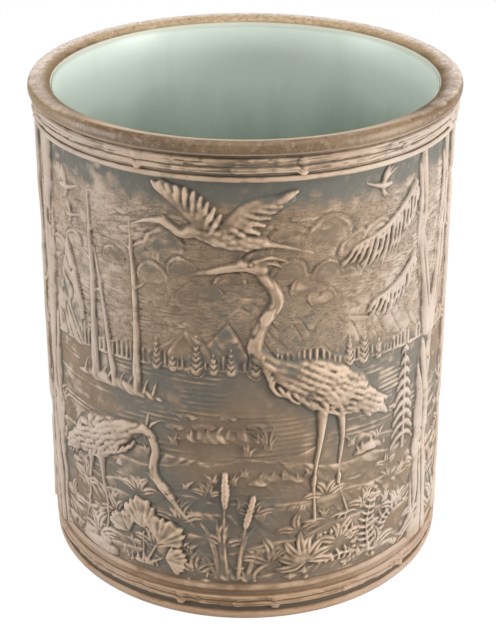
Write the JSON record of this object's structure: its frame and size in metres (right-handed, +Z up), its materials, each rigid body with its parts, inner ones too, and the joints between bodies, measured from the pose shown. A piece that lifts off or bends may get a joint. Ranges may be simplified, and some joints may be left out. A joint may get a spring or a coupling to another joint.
{
  "type": "stoneware crock",
  "caption": "Open cylindrical relief stoneware crock with a rolled rim, branch bands, a luted woodland relief and a glazed inside, for holding tall things.",
  "frame": {"origin": "centre of the rest ring under the base, on the surface that the crock stands on", "axes": "+Z up the crock's axis to the rim, -Y towards the front of the relief"},
  "size_m": [0.26, 0.26, 0.31],
  "materials": {
    "slip_washed_clay": "matt grey-green slip wash over buff stoneware",
    "wiped_clay": "matt buff stoneware, slip wiped off the raised parts",
    "brown_rim": "satin golden-brown wash, lightly speckled",
    "bare_clay": "unglazed matt stoneware",
    "celadon_glaze": "glossy pale blue-green glaze"
  },
  "bodies": {
    "root": {"bare_trunks": "wiped_clay", "base_slab": "bare_clay", "birch_trunk_back_right": "wiped_clay", "bough_back_left": "wiped_clay", "bough_back_right": "wiped_clay", "bough_right_high": "wiped_clay", "bough_right_low": "wiped_clay", "boulder_back": "wiped_clay", "boulder_left": "wiped_clay", "clouds_back": "wiped_clay", "clouds_back_left": "wiped_clay", "clouds_back_right": "wiped_clay", "clouds_front": "wiped_clay", "clouds_left": "wiped_clay", "clouds_right": "wiped_clay", "corner_coil": "bare_clay", "crag_left": "wiped_clay", "fan_plant_back": "wiped_clay", "fan_plant_left": "wiped_clay", "far_hills": "wiped_clay", "far_hills_back": "wiped_clay", "fern_back_left": "wiped_clay", "fern_back_right": "wiped_clay", "fir_back_left": "wiped_clay", "fir_back_right": "wiped_clay", "foot_roll": "wiped_clay", "forked_trunk_right": "wiped_clay", "glaze_lining": "celadon_glaze", "heron_back": "wiped_clay", "heron_flying": "wiped_clay", "heron_standing": "wiped_clay", "heron_stooping": "wiped_clay", "hummock_back": "wiped_clay", "hummock_back_left": "wiped_clay", "hummock_back_middle": "wiped_clay", "hummock_back_right": "wiped_clay", "hummock_birch": "wiped_clay", "hummock_front": "wiped_clay", "hummock_middle": "wiped_clay", "hummock_right": "wiped_clay", "lower_bead": "wiped_clay", "lower_branch_band": "wiped_clay", "old_trunk_back_left": "wiped_clay", "old_trunk_left": "wiped_clay", "reeds_back": "wiped_clay", "reeds_middle": "wiped_clay", "rim_roll": "brown_rim", "rosette_back": "wiped_clay", "slim_trunk_left": "wiped_clay", "slim_trunk_right": "wiped_clay", "undergrowth_right": "wiped_clay", "upper_bead": "wiped_clay", "upper_branch_band": "wiped_clay", "wall": "slip_washed_clay", "wildfowl_back": "wiped_clay", "wildfowl_first": "wiped_clay", "wildfowl_second": "wiped_clay", "wildfowl_third": "wiped_clay", "young_fir_right": "wiped_clay"}
  },
  "joints": []
}
